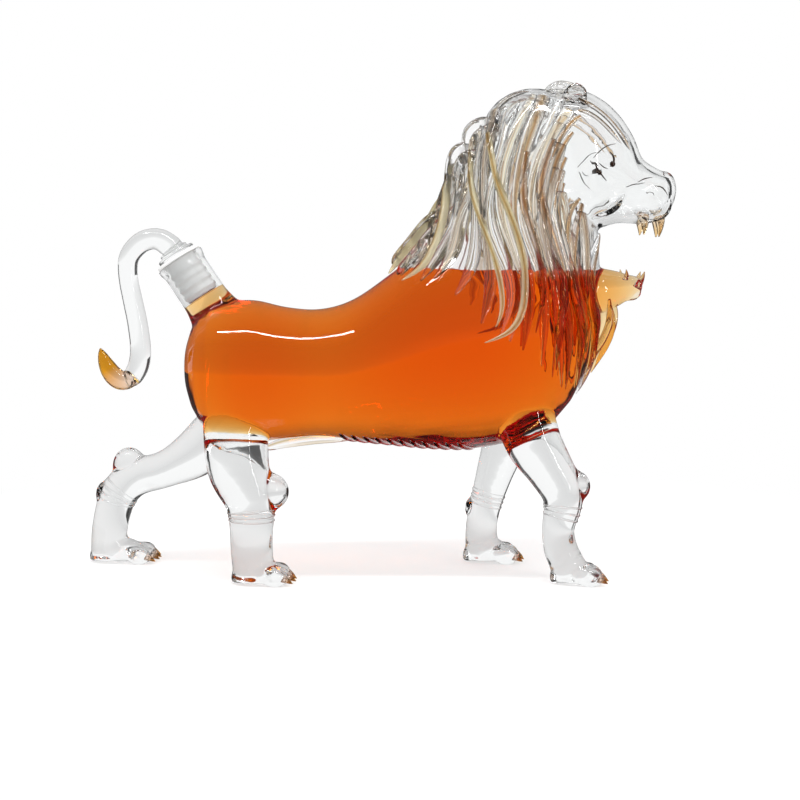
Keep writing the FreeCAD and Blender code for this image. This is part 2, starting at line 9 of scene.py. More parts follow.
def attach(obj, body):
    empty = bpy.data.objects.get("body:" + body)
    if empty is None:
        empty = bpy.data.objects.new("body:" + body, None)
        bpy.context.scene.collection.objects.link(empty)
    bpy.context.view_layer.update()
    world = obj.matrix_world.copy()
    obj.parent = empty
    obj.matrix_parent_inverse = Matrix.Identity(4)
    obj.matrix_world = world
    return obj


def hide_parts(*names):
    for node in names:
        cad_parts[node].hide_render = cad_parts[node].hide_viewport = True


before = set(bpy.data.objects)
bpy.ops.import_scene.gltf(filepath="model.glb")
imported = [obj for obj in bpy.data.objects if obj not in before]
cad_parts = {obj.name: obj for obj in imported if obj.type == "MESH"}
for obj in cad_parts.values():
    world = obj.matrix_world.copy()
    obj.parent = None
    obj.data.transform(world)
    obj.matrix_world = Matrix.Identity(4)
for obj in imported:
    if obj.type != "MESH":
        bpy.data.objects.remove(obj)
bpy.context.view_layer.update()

SCENE = bpy.context.scene
MM = 0.001
ACROSS = Vector((0, 1, 0))
UP = Vector((0, 0, 1))
FORWARD = Vector((1, 0, 0))

# Sizes in mm, as in the CAD.
WALL = 2.2
LIQUOR_LEVEL = 129.0
# x, top, bottom, half width
TRUNK = (
    (-62.0, 116.0, 57.5, 29.4),
    (-50.0, 116.5, 56.5, 32.0),
    (-36.0, 113.5, 58.0, 31.0),
    (-22.0, 112.8, 59.0, 29.8),
    (-8.0, 117.0, 57.3, 30.8),
    (8.0, 128.0, 55.7, 33.2),
    (26.0, 142.0, 54.0, 35.2),
    (46.0, 150.0, 54.0, 35.6),
    (66.0, 146.0, 58.0, 33.0),
)
SKULL = (
    (62.0, 200.5, 144.0, 24.0),
    (74.0, 204.0, 143.0, 25.5),
    (86.0, 203.6, 144.0, 25.0),
    (95.0, 199.6, 146.5, 22.5),
    (102.0, 193.6, 148.6, 18.5),
    (108.0, 185.0, 148.6, 14.8),
    (111.8, 176.2, 148.4, 12.8),
    (117.0, 172.2, 149.2, 11.8),
    (121.0, 170.2, 151.5, 10.4),
)
JAW = (
    (82.0, 131.0, 108.0, 16.0),
    (95.0, 130.0, 110.5, 14.0),
    (103.0, 128.6, 113.8, 11.0),
    (108.0, 127.0, 117.0, 8.6),
)
# rear x, rear z, front x, front z, half width
NECK = (
    (14.0, 128.0, 90.0, 100.0, 33.0),
    (21.0, 140.0, 94.5, 118.0, 33.0),
    (27.0, 151.0, 95.0, 136.0, 30.0),
    (33.0, 165.0, 93.0, 152.0, 28.0),
    (38.0, 177.0, 88.0, 168.0, 26.0),
    (46.0, 189.0, 88.0, 184.0, 22.0),
)
# Rounded ends of these forms in side view: x, z
TIPS = {
    "rump": (-79.7, 88.0),
    "chest": (94.7, 113.0),
    "nape": (44.0, 172.0),
    "nose": (126.8, 162.5),
    "chin": (113.6, 122.5),
}
CROWN = (70.0, 204.0)
# Shares of the full size on the way to a rounded end
END_STEPS = (0.95, 0.8, 0.6, 0.35, 0.12)
# centre and half sizes of swellings on the right of the face
FACE_SWELLS = (
    ((99.0, -12.0, 182.0), (6.0, 5.5, 3.2)),
    ((116.0, -7.0, 156.0), (8.0, 6.6, 7.2)),
    ((93.0, -15.6, 159.5), (10.0, 4.4, 9.0)),
    ((86.0, -19.0, 172.0), (10.0, 6.0, 13.0)),
    ((108.0, -4.0, 120.0), (4.6, 4.2, 3.8)),
)
NOSE_PAD = ((123.0, 0.0, 163.4), (3.5, 5.6, 3.2))
# Ear: middle, half sizes of the leaf, forward lean, radius of the rolled rim
EAR = ((81.6, 17.0, 197.4), (4.4, 2.2, 6.0), math.radians(18), 1.2)

# Eye lines and creases in side view, each with a half width
EYE_LINES = (
    (((88.6, 173.6), (91.4, 176.6), (94.6, 178.8), (98.4, 179.8)), 0.26),
    (((95.6, 176.4), (97.2, 174.6), (97.4, 172.4), (95.8, 170.4)), 0.5),
    (((89.2, 171.6), (91.2, 168.4), (94.6, 164.8)), 0.42),
    (((91.0, 171.8), (93.0, 170.2), (95.0, 169.6)), 0.26),
    (((108.4, 164.8), (111.6, 166.4), (115.2, 167.0)), 0.28),
    (((115.6, 163.4), (119.2, 163.0), (121.6, 159.6)), 0.3),
)
PUPIL = (97.0, 171.6, 1.25)

# x, y, z, half depth, half width, from trunk to sole
LEGS = {
    "right_fore": (
        (62.0, -15.0, 72.0, 12.5, 10.5), (66.5, -16.5, 58.5, 11.8, 10.8), (73.0, -18.0, 48.0, 10.0, 10.0),
        (78.0, -19.5, 39.0, 8.9, 9.0), (78.6, -20.5, 32.0, 7.9, 8.2), (76.8, -21.0, 23.0, 6.7, 7.0),
        (78.0, -21.0, 14.0, 7.0, 7.0), (81.5, -21.0, 6.0, 7.2, 7.6), (81.5, -21.0, 1.0, 7.2, 7.6)),
    "left_fore": (
        (59.0, 15.0, 70.0, 10.8, 10.5), (57.0, 17.0, 53.0, 9.6, 10.2), (53.6, 19.0, 41.0, 8.2, 9.2),
        (51.0, 20.5, 31.5, 7.4, 8.0), (48.6, 21.0, 22.0, 7.0, 7.2), (47.6, 21.0, 14.0, 7.0, 7.2),
        (48.0, 21.0, 6.0, 7.4, 7.6), (48.0, 21.0, 1.0, 7.4, 7.6)),
    "right_hind": (
        (-57.0, -14.0, 72.0, 13.5, 11.0), (-56.6, -16.0, 57.5, 13.4, 11.8), (-55.3, -18.0, 47.0, 12.8, 11.4),
        (-51.2, -20.0, 37.0, 11.2, 10.4), (-50.0, -20.8, 30.0, 9.8, 9.4), (-50.0, -21.0, 22.5, 9.0, 8.8),
        (-50.0, -21.0, 14.0, 8.7, 8.6), (-49.4, -21.0, 6.0, 8.6, 8.6), (-49.4, -21.0, 1.0, 8.6, 8.6)),
    "left_hind": (
        (-60.0, 14.0, 66.0, 13.0, 11.0), (-77.0, 16.5, 50.0, 11.0, 10.6), (-92.0, 18.5, 41.8, 8.2, 9.0),
        (-105.5, 20.0, 37.8, 8.3, 8.6), (-112.6, 20.8, 31.6, 8.4, 8.4), (-115.8, 21.0, 24.0, 8.0, 8.2),
        (-118.0, 21.0, 14.0, 7.8, 8.0), (-118.4, 21.0, 6.0, 7.9, 8.2), (-118.4, 21.0, 1.0, 7.9, 8.2)),
}
# heel x, toe x, y
PAWS = {
    "right_fore": (73.4, 96.2, -21.0),
    "left_fore": (39.2, 65.1, 21.0),
    "right_hind": (-58.8, -33.0, -21.0),
    "left_hind": (-127.2, -97.0, 21.0),
}
# swellings at elbow, knee or hock
KNOBS = {
    "right_fore": (((82.6, -19.5, 40.2), (7.6, 6.4, 7.0)),),
    "left_fore": (((43.6, 20.5, 24.0), (3.4, 4.0, 5.0)),),
    "right_hind": (((-43.0, -20.0, 38.0), (8.6, 7.4, 8.0)), ((-62.0, -18.0, 50.0), (6.0, 7.0, 9.0))),
    "left_hind": (((-108.4, 20.0, 42.8), (7.4, 6.6, 8.4)), ((-119.6, 20.5, 30.0), (4.0, 5.0, 6.0))),
}
WELD_RING = 0.32
WELD_HEIGHTS = {"right_fore": 32.0, "left_fore": 31.0, "right_hind": 30.0, "left_hind": 31.0}
PAW_TOP = 11.0
PAW_HALF_WIDTH = 9.2
# share of the way from heel to toe, share of the half width, height
PAW_ROWS = (
    (0.01, 0.25, 3.5), (0.1, 0.62, 8.0), (0.3, 0.86, PAW_TOP), (0.58, 1.0, PAW_TOP * 0.9), (0.8, 1.0, PAW_TOP * 0.6),
    (0.93, 0.8, 4.4),
)
TOE_HALF = (5.4, 2.5, 4.0)
TOE_COUNT = 4
# how far a claw starts behind the toe's front and reaches past it, height of its tip, root radius
CLAW = {"root": 2.2, "reach": 1.9, "tip": 1.2, "radius": 1.7}
LEG_CUT = 52.0
# The head is welded on along this line.
WELD = ((16.0, 134.0), (96.0, 108.0))

# Bottle neck: base, tilt; profiles are radius, height up the neck.
SPOUT_BASE = Vector((-69.4, 0, 114.9))
SPOUT_TILT = math.radians(33.0)
SPOUT_UP = Vector((-math.sin(SPOUT_TILT), 0, math.cos(SPOUT_TILT)))
SPOUT_TOP = 21.8
SPOUT_SKIN = (
    (13.0, -14), (12.0, -8), (10.9, -4), (10.0, 0), (9.6, 4), (9.5, 17), (9.8, 18.6), (10.3, 19.8), (10.4, 21),
    (10.3, 26),
)
SPOUT_CORE = ((10.4, -14), (10.2, 0), (10.2, 32))
LIQUOR_IN_SPOUT = 3.7
LIQUOR_TOPS = ((UP * LIQUOR_LEVEL * MM, UP), ((SPOUT_BASE + SPOUT_UP * LIQUOR_IN_SPOUT) * MM, SPOUT_UP))
PLUG = (
    (6.4, 4.0), (6.95, 4.4), (6.95, 5.3), (7.45, 5.8), (7.7, 6.4), (7.45, 7.0), (6.95, 7.5), (6.95, 8.8), (7.45, 9.3),
    (7.7, 9.9), (7.45, 10.5), (6.95, 11.0), (6.95, 12.3), (7.45, 12.8), (7.7, 13.4), (7.45, 14.0), (6.95, 14.5),
    (6.95, 15.8), (7.45, 16.3), (7.7, 16.9), (7.45, 17.5), (6.95, 18.0), (6.95, 21.7), (7.1, 22.0), (9.5, 22.0),
    (9.8, 22.2), (9.8, 23.3), (9.6, 23.55), (3.8, 23.55), (3.6, 23.4), (3.6, 4.2), (3.8, 4.0),
)
STEM = (
    (0.4, 5.5), (3.1, 5.5), (3.45, 5.9), (3.45, 23.5), (3.6, 23.65), (7.9, 23.65), (8.2, 23.9), (8.2, 25.1),
    (8.0, 25.35), (6.4, 25.4), (6.2, 25.6), (6.2, 26.8), (6.0, 27.1), (5.2, 27.15), (5.0, 27.4),
)
# x, z, radius of the tail's rod
TAIL = (
    (-85.2, 139.0, 4.9), (-88.4, 141.3, 4.7), (-92.2, 142.2, 4.4), (-96.4, 141.2, 4.4), (-99.8, 138.6, 4.3),
    (-102.4, 135.0, 4.2), (-103.3, 131.0, 4.1), (-103.0, 124.3, 4.0), (-101.4, 115.8, 4.1), (-99.7, 106.8, 4.2),
    (-98.6, 96.4, 4.3), (-99.4, 89.2, 4.4), (-102.0, 84.4, 4.2), (-105.0, 82.8, 3.6),
)
# x, z, half width, half thickness
TAIL_LEAF = (
    (-101.0, 84.2, 2.6, 2.8), (-104.0, 82.6, 4.4, 4.2), (-107.6, 82.6, 5.0, 4.6), (-110.8, 85.2, 4.8, 4.4),
    (-113.2, 89.2, 3.8, 3.6), (-114.8, 93.2, 2.2, 2.2), (-115.6, 96.2, 0.4, 0.4),
)

# Mane guides in side view: root to tip, from nape to throat.
MANE = (
    (29.5, 172.0, 26.7, 158.0, 21.0, 146.0, 16.5, 135.0, 11.0, 127.0),
    (36.0, 180.0, 34.5, 165.0, 30.5, 148.0, 26.0, 134.0, 17.5, 124.5),
    (45.0, 190.0, 42.5, 168.0, 40.0, 148.0, 36.0, 134.0, 29.0, 122.9),
    (55.0, 196.0, 48.0, 172.0, 46.0, 148.0, 53.0, 122.0, 47.5, 103.5),
    (68.0, 200.0, 58.0, 175.0, 54.0, 150.0, 62.0, 122.0, 57.0, 99.5),
    (78.5, 196.0, 67.0, 175.0, 62.0, 151.0, 70.8, 118.8, 70.4, 88.3),
    (76.0, 184.0, 68.5, 165.0, 67.0, 145.0, 76.4, 114.8, 77.0, 81.0),
    (74.5, 165.0, 74.5, 149.0, 78.5, 131.0, 84.8, 106.6, 83.0, 82.3),
    (86.4, 150.0, 86.0, 135.0, 88.0, 119.8, 91.1, 107.7, 88.0, 90.5),
)
MANE_GROUPS = ("mane_rear", "mane_middle", "mane_front", "cheek_ruff")
STRANDS_PER_GROUP = 4
WAVE = 1.3
# Half width of a lock at its stops, as a share of the way to the next lock, and the least and most of that way
LOCK_SWELLS = (0.6, 0.66, 0.66, 0.6, 0.08)
LOCK_WAY = (2.0, 6.4)
# Locks that lie over the others: group, half width, side-view stops.
OVER_LOCKS = (
    (1, 1.9, (
        (48.0, 184.0), (50.5, 165.0), (57.0, 146.0), (60.4, 129.0), (59.6, 113.5), (54.5, 104.8), (44.5, 100.6))),
    (1, 1.5, ((41.0, 178.0), (42.0, 158.0), (47.5, 139.0), (51.5, 124.0), (51.2, 112.0), (48.8, 106.5))),
    (0, 1.6, ((31.0, 174.0), (32.0, 158.0), (28.8, 142.0), (22.5, 129.5), (13.6, 122.9))),
    (0, 1.5, ((26.0, 162.0), (18.8, 148.0), (14.5, 135.0), (8.5, 125.0))),
    (2, 2.6, ((73.0, 181.0), (66.5, 163.0), (70.0, 146.0), (75.5, 125.0), (74.2, 104.0), (72.9, 90.0))),
    (3, 2.4, ((84.0, 156.0), (79.2, 139.0), (80.0, 120.6), (83.5, 103.6), (81.0, 83.0))),
    (3, 2.0, ((92.0, 144.0), (86.6, 128.0), (88.2, 110.0), (88.8, 93.0))),
    (2, 2.2, ((62.0, 176.0), (60.0, 158.0), (64.5, 141.0), (68.0, 122.0), (64.6, 104.0))),
)
# Stains drawn into the grooves of the locks, in turn.
STAINS = ("FCF6E6", "D0B48C", "FFFFFF", "F4E6CC", "FFFFFF", "C4B098", "FFFFFF")
# Painted light: amber multiplied into the front locks below the liquor line, standing in for the liquor's colour seen
# through the clear strands.
PAINTED_LIQUOR_LIGHT_TINT = "F6C070"
# Stain and ridge of the locks that lie over the others: gold on the rear groups, brown on the front ones; the pale
# gold ridge is painted light, the white that the lifted locks refract.
GOLD_WITH_PAINTED_PALE_RIDGE = ("B89450", "FFF6D4")
BROWN = ("B07830", "FFFFFF")
# Stains of the other pieces
FORELOCK_STAIN = "C8964E"
BEARD_STAINS = ("A0622E", "C89040")
CHIN_STAIN = ("A87030", "F8DCA8")
FRINGE_STAIN = "A85A18"
TUFT_STAIN = "D9B36A"
FANG_STAIN = "EBC890"
CLAW_STAIN = "D08A22"
LEAF_STAIN = "E39A1E"
# Above this height and behind this x, seats on the neck are found from its axis, halfway to this front.
NECK_SEATS = {"above": 136.0, "behind": 84.0, "front": 92.0}
# Tufts down the middle of the mane in side view, from root to tip, crown to nape
CREST_TUFTS = (
    ((86.0, 198.0), (83.4, 203.0), (78.8, 205.0), (74.6, 203.6), (72.0, 199.4), (70.5, 192.0)),
    ((71.0, 195.0), (66.2, 198.4), (60.0, 199.4), (55.4, 197.6), (52.6, 193.6), (51.0, 186.0)),
    ((53.0, 189.5), (47.6, 190.4), (43.4, 189.4), (40.2, 186.4), (39.2, 181.6), (38.6, 173.0)),
    ((43.0, 181.0), (36.8, 180.0), (33.6, 176.0), (32.4, 168.0), (31.8, 160.0), (29.6, 150.0)),
    ((33.0, 160.0), (28.2, 153.2), (22.4, 148.6), (16.0, 140.6), (10.0, 134.0), (8.0, 131.6)),
)
# sideways place, drop and half width of the strands in a tuft
TUFT_STRANDS = ((0.0, 0.0, 3.6), (-6.4, 1.2, 3.6), (6.4, 1.2, 3.6), (-12.4, 4.4, 3.4), (12.4, 4.4, 3.4))
TUFT_SWELLS = (0.3, 0.9, 1.0, 1.0, 0.8, 0.1)
TUFT_THICK = 3.4
FORELOCKS = (
    (((83.0, 198.0), (88.0, 195.4), (94.0, 191.0), (99.0, 185.6), (102.5, 180.6), (104.4, 177.6)), 1.1),
    (((83.0, 193.0), (87.0, 192.0), (92.0, 188.6), (97.0, 183.6), (100.6, 179.8)), 0.9),
    (((84.0, 190.6), (80.0, 188.0), (75.0, 181.0), (71.0, 172.0)), 1.5),
    (((80.4, 184.0), (77.4, 180.0), (73.6, 172.0), (71.0, 163.0)), 1.4),
    (((77.6, 174.0), (75.4, 169.0), (73.4, 161.0), (72.6, 153.0)), 1.4),
    (((77.0, 164.0), (75.0, 158.0), (74.4, 150.0), (75.4, 142.0)), 1.4),
    (((84.0, 158.0), (80.0, 153.0), (78.0, 145.0), (78.4, 136.0)), 1.4),
)
BEARD_SIDES = (-11.0, -7.4, -3.8, 0.0, 3.8, 7.4, 11.0)
BEARD_STOPS = (108.0, 100.0, 92.0, 84.0, 77.0)
BEARD_HALVES = (1.8, 2.2, 2.2, 1.7, 0.3)
# Locks that hang free under the chin: x, z, half width, and their places across
CHIN_LOCK = (
    (101.0, 118.0, 0.8), (102.2, 112.0, 1.7), (101.6, 106.0, 2.0), (99.2, 100.0, 2.0), (96.2, 94.6, 1.5),
    (93.4, 89.0, 0.3),
)
CHIN_SIDES = (-8.4, -4.2, 0.0, 4.2, 8.4)
# root, tip, root radius of each tooth on the left
UPPER_FANGS = (((119.2, 3.4, 153.5), (119.6, 3.4, 143.0), 2.9), ((112.6, 5.0, 152.0), (113.0, 5.0, 143.8), 2.4))
LOWER_FANGS = (((110.0, 4.6, 121.5), (113.6, 4.8, 128.4), 1.9), ((105.0, 7.4, 125.0), (105.4, 7.6, 129.4), 1.3))
FRINGE = {"rear": -6.0, "front": 43.0, "count": 11, "slant": 8.0, "near": 1.2, "far": 15.0}
FRINGE_HALVES = (0.9, 1.5, 1.6, 1.1, 0.3)
# x, drop below the belly, half width, half thickness
BELLY_TUFT = (
    (-9.0, -0.8, 2.0, 1.6), (-16.0, 0.4, 4.6, 2.4), (-24.0, 1.2, 5.6, 2.8), (-32.0, 1.6, 5.4, 2.8),
    (-39.0, 2.2, 4.0, 2.4), (-44.0, 3.0, 2.4, 1.8), (-47.5, 3.6, 0.5, 0.5),
)


def point(x, y, z):
    return Vector((x, y, z)) * MM


def between(rows, steps):
    # Rows of numbers with smooth rows put in between.
    dense = []
    last = len(rows) - 1
    for place in range(last):
        four = (rows[max(place - 1, 0)], rows[place], rows[place + 1], rows[min(place + 2, last)])
        for step in range(steps):
            t = step / steps
            row = []
            for p, q, r, s in zip(*four):
                square = 2 * p - 5 * q + 4 * r - s
                cube = 3 * q - p - 3 * r + s
                row.append(0.5 * (2 * q + (r - p) * t + square * t ** 2 + cube * t ** 3))
            dense.append(row)
    dense.append(list(rows[last]))
    return dense


def loft(bm, ovals, segments, groove=1.0, closed=False, stain=None):
    # ovals: centre, half axis across, half axis in depth
    rings = []
    layer = bm.verts.layers.float_color.get("stain")
    for place, (centre, side, depth) in enumerate(ovals):
        matrix = Matrix((side, depth, side.cross(depth).normalized())).transposed().to_4x4()
        matrix.translation = centre
        verts = bmesh.ops.create_circle(bm, segments=segments, radius=1.0, matrix=matrix)["verts"]
        rings.append((verts, {edge for vert in verts for edge in vert.link_edges}))
        if groove != 1.0:
            bmesh.ops.scale(bm, vec=(groove,) * 3, space=Matrix.Translation(-centre), verts=verts[::2])
        if layer:
            for number, vert in enumerate(verts):
                vert[layer] = stain(place / (len(ovals) - 1), number) if stain else (1, 1, 1, 1)
    pairs = list(zip(rings, rings[1:]))
    if closed:
        pairs.append((rings[-1], rings[0]))
    for (verts, edges), (next_verts, next_edges) in pairs:
        bmesh.ops.bridge_loops(bm, edges=list(edges | next_edges))
    if not closed:
        for verts, edges in (rings[0], rings[-1]):
            bmesh.ops.contextual_create(bm, geom=verts)


def rounded(row, tip):
    # Barrel rows that shrink from a full row to a tip on an elliptic curve.
    x, top, bottom, half = row
    rows = []
    for scale in END_STEPS:
        reach = math.sqrt(1 - scale * scale)
        middle = (top + bottom) / 2 + (tip[1] - (top + bottom) / 2) * reach
        high = (top - bottom) / 2 * scale
        rows.append((x + (tip[0] - x) * reach, middle + high, middle - high, half * scale))
    return rows


def barrel(bm, rows, rear=None, front=None):
    rows = between(rows, 5)
    if rear:
        rows = rounded(rows[0], rear)[::-1] + rows
    if front:
        rows = rows + rounded(rows[-1], front)
    ovals = []
    for x, top, bottom, half in rows:
        ovals.append((point(x, 0, (top + bottom) / 2), ACROSS * half * MM, UP * (top - bottom) / 2 * MM))
    loft(bm, ovals, 48)


def neck(bm):
    ovals = []
    for rear_x, rear_z, front_x, front_z, half in between(NECK, 5):
        rear = point(rear_x, 0, rear_z)
        span = point(front_x, 0, front_z) - rear
        ovals.append((rear + span / 2, ACROSS * half * MM, span / 2))
    centre, side, depth = ovals[-1]
    for scale in END_STEPS:
        reach = math.sqrt(1 - scale * scale)
        ovals.append((centre + (point(CROWN[0], 0, CROWN[1]) - centre) * reach, side * scale, depth * scale))
    loft(bm, ovals, 48)


def ball(bm, centre, halves, turn=0.0, fine=4):
    matrix = Matrix.Translation(point(*centre)) @ Matrix.Rotation(turn, 4, "Y")
    matrix = matrix @ Matrix.Diagonal(point(*halves)).to_4x4()
    bmesh.ops.create_icosphere(bm, subdivisions=fine, radius=1.0, matrix=matrix)


def limb(bm, rows, segments=28):
    rows = between(rows, 5)
    spots = [point(*row[:3]) for row in rows]
    ovals = []
    for place, row in enumerate(rows):
        along = spots[min(place + 1, len(rows) - 1)] - spots[max(place - 1, 0)]
        depth = along.cross(ACROSS).normalized()
        side = depth.cross(along).normalized()
        ovals.append((spots[place], side * row[4] * MM, depth * row[3] * MM))
    loft(bm, ovals, segments)


def on_spout(profile):
    # Rings round the axis of the bottle neck.
    depth = SPOUT_UP.cross(ACROSS)
    ovals = []
    for radius, high in profile:
        ovals.append(((SPOUT_BASE + SPOUT_UP * high) * MM, ACROSS * radius * MM, depth * radius * MM))
    return ovals


def in_plane(rows):
    # Rings along a line in the middle plane: x, z, half width, half thickness.
    ovals = []
    for place, (x, z, half, thick) in enumerate(rows):
        ahead = rows[min(place + 1, len(rows) - 1)]
        behind = rows[max(place - 1, 0)]
        along = point(ahead[0] - behind[0], 0, ahead[1] - behind[1]).normalized()
        ovals.append((point(x, 0, z), ACROSS * half * MM, along.cross(ACROSS) * thick * MM))
    return ovals


def both_sides(spot):
    return spot, (spot[0], -spot[1], spot[2])


def vessel(bm):
    barrel(bm, TRUNK, TIPS["rump"], TIPS["chest"])
    barrel(bm, SKULL, TIPS["nape"], TIPS["nose"])
    barrel(bm, JAW, None, TIPS["chin"])
    neck(bm)
    for centre, halves in FACE_SWELLS:
        for spot in both_sides(centre):
            ball(bm, spot, halves)
    ball(bm, *NOSE_PAD)


def toe_spots(name):
    heel, toe, side = PAWS[name]
    pitch = 2 * (PAW_HALF_WIDTH - TOE_HALF[1] * 0.8) / (TOE_COUNT - 1)
    spots = []
    for number in range(TOE_COUNT):
        offset = (number - (TOE_COUNT - 1) / 2) * pitch
        spots.append((toe - TOE_HALF[0] - abs(offset) * 0.22, side + offset, 3.4))
    return spots


def leg(bm, name):
    limb(bm, LEGS[name])
    for knob in KNOBS[name]:
        ball(bm, *knob)
    heel, toe, side = PAWS[name]
    rows = [(heel + (toe - heel) * share, swell, top) for share, swell, top in PAW_ROWS]
    ovals = []
    for x, swell, top in between(rows, 4):
        ovals.append((point(x, side, top / 2), ACROSS * PAW_HALF_WIDTH * swell * MM, UP * top / 2 * MM))
    loft(bm, ovals, 28)
    for spot in toe_spots(name):
        ball(bm, spot, TOE_HALF)


def ear(bm, side):
    (x, y, z), halves, lean, rim = EAR
    ball(bm, (x, side * y, z), halves, lean)
    turn = Matrix.Rotation(lean, 3, "Y")
    middle = point(x, side * (y + 0.8), z)
    ovals = []
    for step in range(24):
        angle = 2 * math.pi * step / 24
        out = turn @ Vector((math.cos(angle) * halves[0], 0, math.sin(angle) * halves[2])) * MM
        ovals.append((middle + out, ACROSS * rim * MM, out.normalized() * rim * MM))
    loft(bm, ovals, 10, closed=True)


def remeshed(bm, voxel, passes, inset=0.0, second=None):
    # One smooth closed skin round everything in bm, in mm settings.
    mesh = bpy.data.meshes.new("work")
    bm.to_mesh(mesh)
    obj = bpy.data.objects.new("work", mesh)
    SCENE.collection.objects.link(obj)
    steps = [(voxel, passes)] + ([second] if second else [])
    for number, (size, count) in enumerate(steps):
        if number:
            shrink = obj.modifiers.new("shrink", "DISPLACE")
            shrink.mid_level = 0.0
            shrink.strength = -inset * MM
        skin = obj.modifiers.new("skin", "REMESH")
        skin.mode = "VOXEL"
        skin.voxel_size = size * MM
        soft = obj.modifiers.new("soft", "SMOOTH")
        soft.factor = 0.5
        soft.iterations = count
    made = bpy.data.meshes.new_from_object(obj.evaluated_get(bpy.context.evaluated_depsgraph_get()))
    bpy.data.objects.remove(obj)
    return made


def piece(name, bm, material, body, nodes, levels=0):
    # A finished mesh on its body, in place of its CAD nodes.
    mesh = bpy.data.meshes.new(name)
    for face in bm.faces:
        face.smooth = True
    layer = bm.verts.layers.float_vector.get("whole_normal")
    normals = [tuple(vert[layer]) for vert in bm.verts] if layer else None
    bm.to_mesh(mesh)
    if normals:
        mesh.normals_split_custom_set_from_vertices(normals)
    obj = bpy.data.objects.new(name, mesh)
    SCENE.collection.objects.link(obj)
    mesh.materials.append(material)
    if levels:
        soft = obj.modifiers.new("soft", "SUBSURF")
        soft.levels = levels
        soft.render_levels = levels
    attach(obj, body)
    if nodes:
        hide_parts(*nodes)
    return obj


def colour(code):
    # sRGB hex to linear
    parts = [int(code[place:place + 2], 16) / 255 for place in (0, 2, 4)]
    return [c / 12.92 if c <= 0.04045 else ((c + 0.055) / 1.055) ** 2.4 for c in parts] + [1.0]


def add_node(tree, kind, links=(), **settings):
    # A node with its settings; links are (input, output socket).
    node = tree.nodes.new(kind)
    for name, value in settings.items():
        label = name.replace("_", " ")
        if label in node.inputs.keys():
            node.inputs[label].default_value = value
        else:
            setattr(node, name, value)
    for socket, source in links:
        tree.links.new(source, node.inputs[socket])
    return node


def surface(name, stained=False, **settings):
    material = bpy.data.materials.new(name)
    material.use_nodes = True
    tree = material.node_tree
    shader = tree.nodes["Principled BSDF"]
    for key, value in settings.items():
        shader.inputs[key.replace("_", " ")].default_value = value
    if stained:
        stain = add_node(tree, "ShaderNodeAttribute", attribute_name="stain")
        tree.links.new(stain.outputs["Color"], shader.inputs["Base Color"])
    return material


# Borosilicate tube glass, lamp-worked: clear, fire-polished, no grain.
clear_glass = surface(
    "borosilicate glass, lamp-worked", Base_Color=colour("FCFDFD"), Transmission_Weight=1.0, IOR=1.47, Roughness=0.0)
# The same glass drawn into locks, with gold and brown stain fired into the grooves; on the front locks below the
# liquor line an amber tint of painted light is added.
mane_glass = surface("stained glass, drawn strands", True, Transmission_Weight=1.0, IOR=1.4, Roughness=0.0)
# Locks that lie on top: gold tint, with a third of the surface made opaque and pale as painted light for the white
# they refract, so that they stay pale in front of the liquor.
gold_and_painted_light_glass = surface("gold lustre and painted light on glass, drawn strands", True, Transmission_Weight=0.66, IOR=1.45, Roughness=0.03)
# Amber stain on claws, fangs and the tail's tuft, deepest at the tips.
amber_glass = surface("amber-stained glass, lamp-worked", True, Transmission_Weight=1.0, IOR=1.47, Roughness=0.0)
# Pupil and lids: dark glass bead and threads.
eye_glass = surface("dark glass, bead and threads", Base_Color=colour("2A1A10"), Roughness=0.05, IOR=1.5)
# Milky moulded silicone, ribbed.
silicone = surface("silicone, moulded", Base_Color=colour("FDFDFC"), IOR=1.41, Roughness=0.4)


def whisky(name, bend):
    # Coloured by depth.
    material = surface(name, Base_Color=colour("FFFFFF"), Transmission_Weight=1.0, IOR=bend, Roughness=0.0)
    tree = material.node_tree
    depth = add_node(tree, "ShaderNodeVolumeAbsorption", Color=(0.965, 0.64, 0.0, 1.0), Density=100.0)
    tree.links.new(depth.outputs["Volume"], tree.nodes["Material Output"].inputs["Volume"])
    return material


# Whisky wetting the glass wall, where light passes straight on, and its open surface against air.
wet_whisky = whisky("whisky, wetting the wall", 1.0)
open_whisky = whisky("whisky, open surface", 1.36)

# Vessel: one blown skin outside, one inside; legs, ears and bottle neck drawn from the same glass.
form = bmesh.new()
vessel(form)
core = form.copy()
loft(core, on_spout(SPOUT_CORE), 40)
inside = remeshed(core, 1.2, 8, WALL, (1.5, 4))
core.free()
loft(form, on_spout(between(SPOUT_SKIN, 3)), 40)
for name in LEGS:
    leg(form, name)
for side in (-1, 1):
    ear(form, side)
outside = remeshed(form, 0.95, 7)
form.free()


def trimmed(bm, spot, normal):
    # Cuts away what lies beyond a plane and gives the edges of the cut.
    geometry = bm.verts[:] + bm.edges[:] + bm.faces[:]
    cut = bmesh.ops.bisect_plane(bm, geom=geometry, plane_co=spot, plane_no=normal, clear_outer=True)
    return [item for item in cut["geom_cut"] if isinstance(item, bmesh.types.BMEdge)]


def skin_of(mesh, flipped):
    # The skin trimmed at the lip of the bottle neck, with its normals kept for the pieces cut from it.
    bm = bmesh.new()
    bm.from_mesh(mesh)
    trimmed(bm, (SPOUT_BASE + SPOUT_UP * SPOUT_TOP) * MM, SPOUT_UP)
    if flipped:
        bmesh.ops.reverse_faces(bm, faces=bm.faces)
        for spot, normal in LIQUOR_TOPS:
            bmesh.ops.bisect_plane(bm, geom=bm.verts[:] + bm.edges[:] + bm.faces[:], plane_co=spot, plane_no=normal)
    bm.normal_update()
    layer = bm.verts.layers.float_vector.new("whole_normal")
    for vert in bm.verts:
        vert[layer] = vert.normal
    return bm


